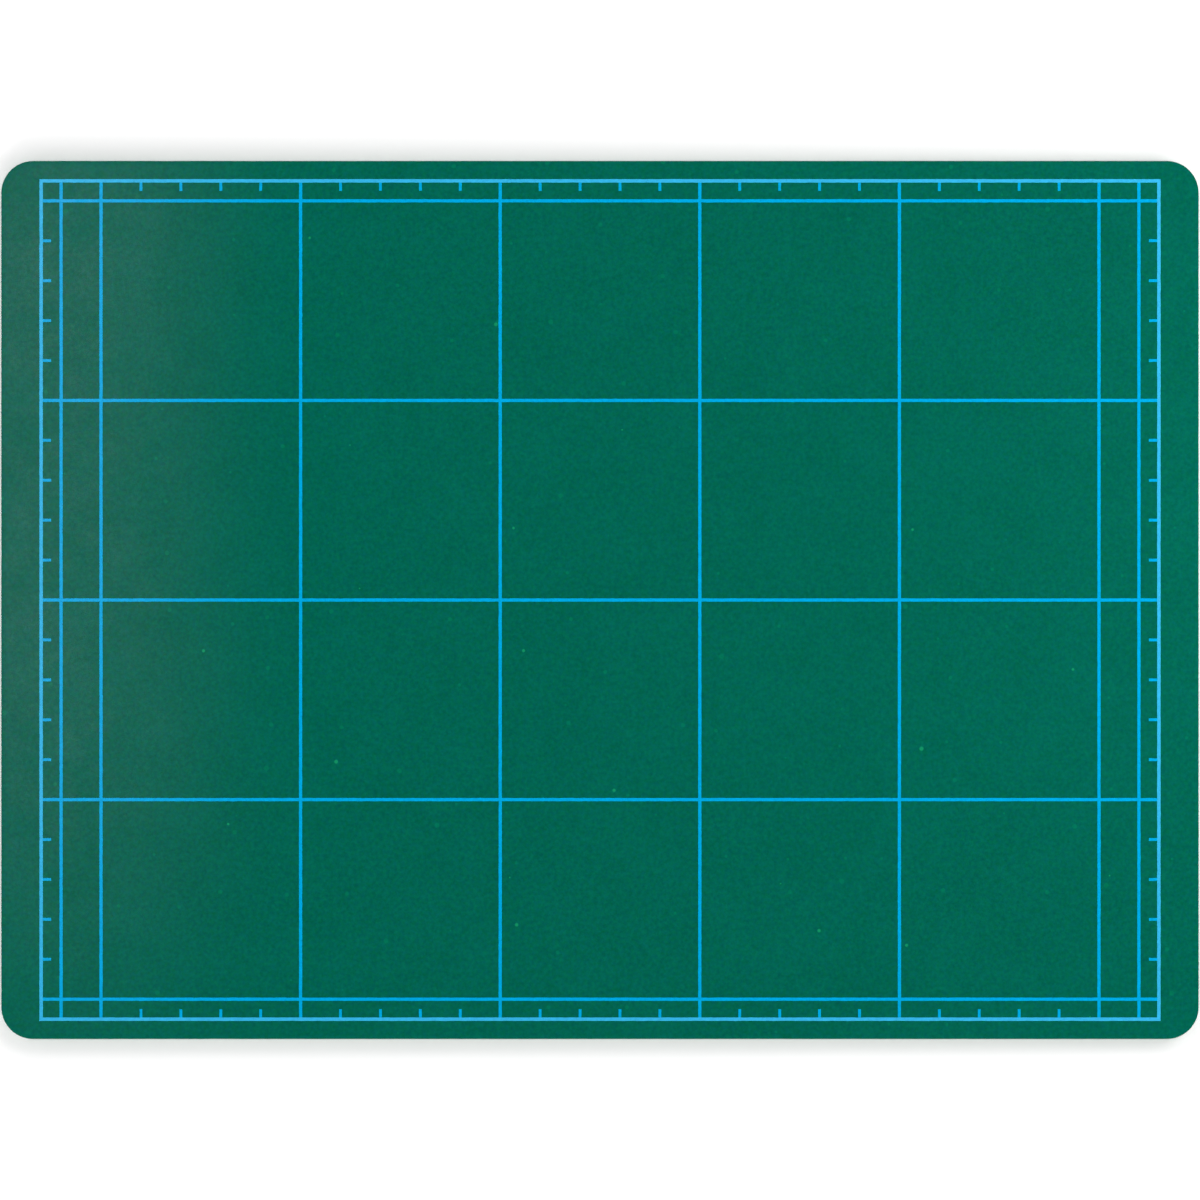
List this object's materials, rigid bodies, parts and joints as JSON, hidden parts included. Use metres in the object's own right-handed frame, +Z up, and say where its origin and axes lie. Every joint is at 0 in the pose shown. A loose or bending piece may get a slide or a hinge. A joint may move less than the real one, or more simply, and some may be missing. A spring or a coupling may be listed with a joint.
{
  "type": "self-healing cutting mat",
  "caption": "Thin rectangular laminated vinyl cutting mat with rounded corners and a printed measuring grid, border, margin lines and centimetre ticks lying flush in its top face.",
  "frame": {"origin": "centre of the underside, which rests on the table", "axes": "+X along the mat's long side, +Y along its short side, away from the user, +Z up out of the printed work surface"},
  "size_m": [0.3, 0.22, 0.003],
  "materials": {
    "surface_vinyl": "matte",
    "cushion_vinyl": "satin",
    "core_vinyl": "satin",
    "printing_ink": "satin"
  },
  "bodies": {
    "root": {"bottom_surface_ply": "surface_vinyl", "lower_cushion_ply": "cushion_vinyl", "core_ply": "core_vinyl", "upper_cushion_ply": "cushion_vinyl", "top_surface_ply": "surface_vinyl", "border_line": "printing_ink", "grid_lines": "printing_ink", "margin_line_left": "printing_ink", "margin_line_right": "printing_ink", "tick_marks_top": "printing_ink", "tick_marks_bottom": "printing_ink", "tick_marks_left": "printing_ink", "tick_marks_right": "printing_ink"}
  },
  "joints": []
}
